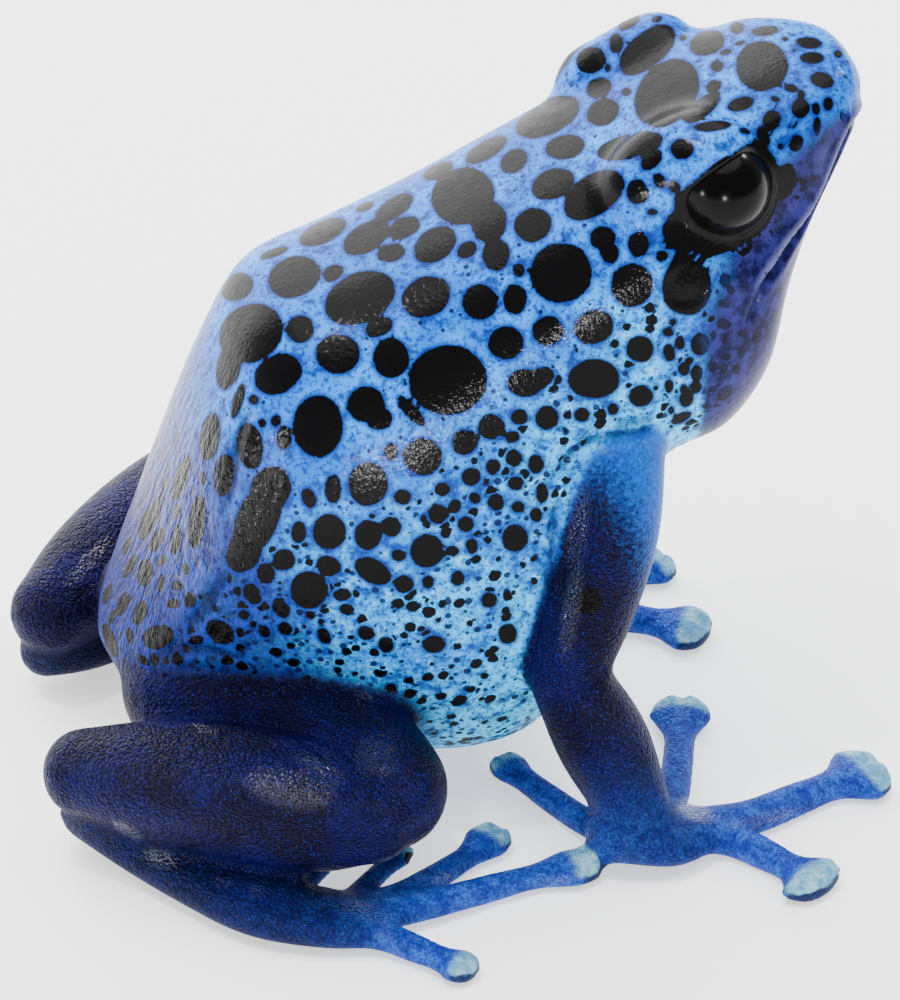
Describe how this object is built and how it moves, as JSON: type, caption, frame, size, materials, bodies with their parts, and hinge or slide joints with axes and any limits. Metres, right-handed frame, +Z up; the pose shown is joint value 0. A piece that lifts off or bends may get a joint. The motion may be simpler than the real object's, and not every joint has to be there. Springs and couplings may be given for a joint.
{
  "type": "blue poison dart frog model",
  "caption": "Life-size still model of a blue poison dart frog sitting upright, with splayed hands, folded hind legs, dark eyes and spotted blue skin.",
  "frame": {"origin": "on the floor, under the middle of the frog's box", "axes": "+X the way the frog faces, +Y its left side, +Z up"},
  "size_m": [0.0322, 0.0326, 0.0283],
  "materials": {
    "blue_skin": "moist, finely grained sky-blue skin with round black spots",
    "limb_skin": "moist, grained deep navy skin with fine black specks",
    "digit_skin": "moist blue skin, paler at the tips",
    "eye": "wet, glossy, nearly black"
  },
  "bodies": {
    "root": {"head": "blue_skin", "torso": "blue_skin", "right_eye": "eye", "left_eye": "eye", "right_upper_arm": "limb_skin", "right_forearm": "limb_skin", "right_hand": "digit_skin", "right_finger_1": "digit_skin", "right_finger_2": "digit_skin", "right_finger_3": "digit_skin", "right_finger_4": "digit_skin", "right_thigh": "limb_skin", "right_shank": "limb_skin", "right_foot": "limb_skin", "right_toe_1": "digit_skin", "right_toe_2": "digit_skin", "right_toe_3": "digit_skin", "right_toe_4": "digit_skin", "right_toe_5": "digit_skin", "left_upper_arm": "limb_skin", "left_forearm": "limb_skin", "left_hand": "digit_skin", "left_finger_1": "digit_skin", "left_finger_2": "digit_skin", "left_finger_3": "digit_skin", "left_finger_4": "digit_skin", "left_thigh": "limb_skin", "left_shank": "limb_skin", "left_foot": "limb_skin", "left_toe_1": "digit_skin", "left_toe_2": "digit_skin", "left_toe_3": "digit_skin", "left_toe_4": "digit_skin", "left_toe_5": "digit_skin"}
  },
  "joints": []
}
